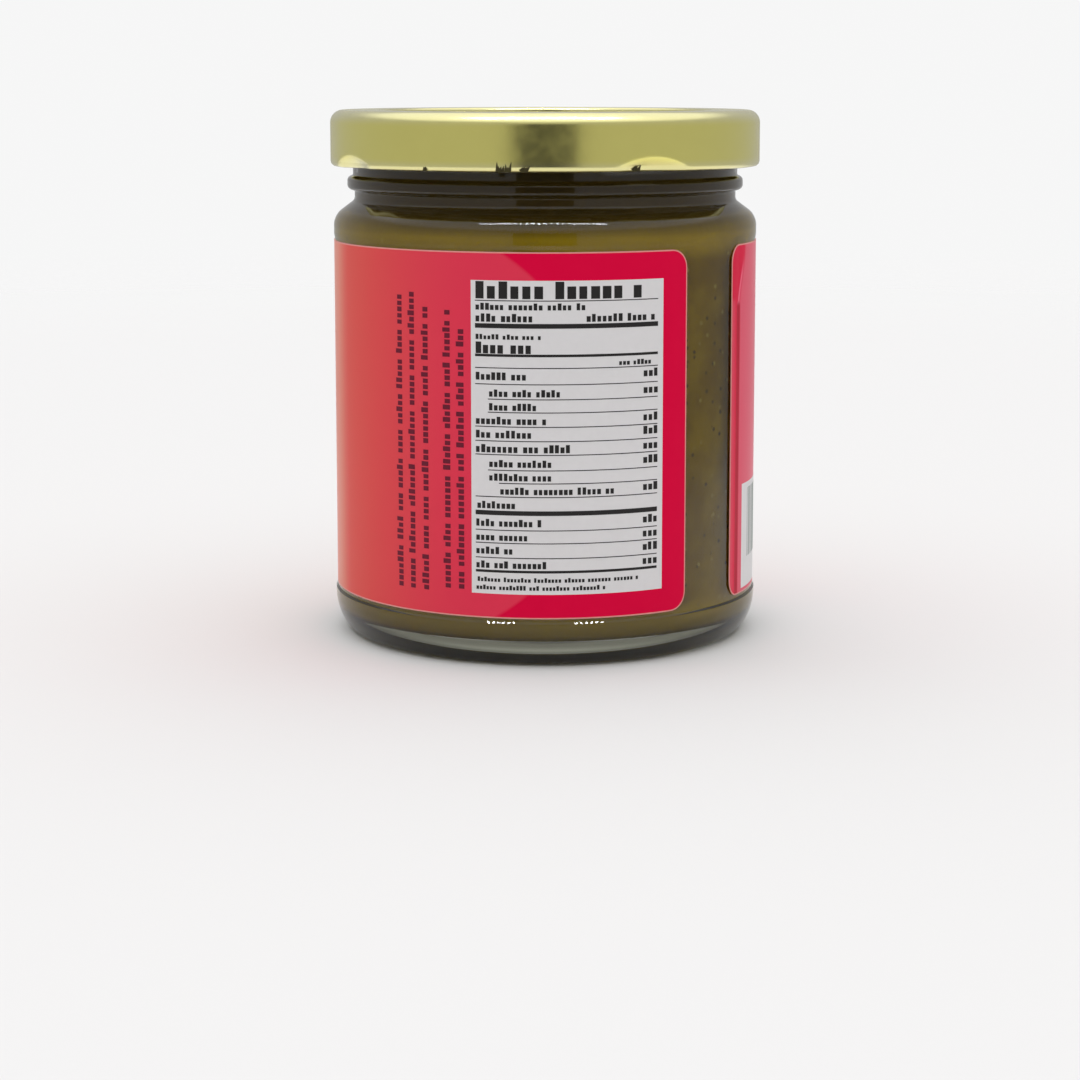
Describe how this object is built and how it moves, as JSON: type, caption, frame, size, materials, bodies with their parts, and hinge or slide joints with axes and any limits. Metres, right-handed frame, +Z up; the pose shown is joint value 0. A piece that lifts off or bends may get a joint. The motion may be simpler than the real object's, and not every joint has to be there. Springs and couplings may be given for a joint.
{
  "type": "chutney jar",
  "caption": "Straight-sided glass jar of chutney, closed by a pressed gold lug lid over its neck, with a rounded crimson label wrapped round the wall.",
  "frame": {"origin": "centre of the foot ring, on the plane the jar stands on", "axes": "+Z up along the axis of the jar; -Y towards the front of the label, +X to its right"},
  "size_m": [0.0728, 0.0728, 0.0889],
  "materials": {
    "clear_glass": "clear flint glass with a faint green edge",
    "chutney_paste": "wet olive-brown relish with fine flecks",
    "gold_lacquer": "satin gold lacquer over tinplate",
    "sealing_compound": "matt compound ring",
    "label_paper": "coated crimson paper with a white panel"
  },
  "bodies": {
    "root": {"glass_jar": "clear_glass", "chutney": "chutney_paste", "lid": "gold_lacquer", "lid_seal": "sealing_compound", "label": "label_paper"}
  },
  "joints": []
}
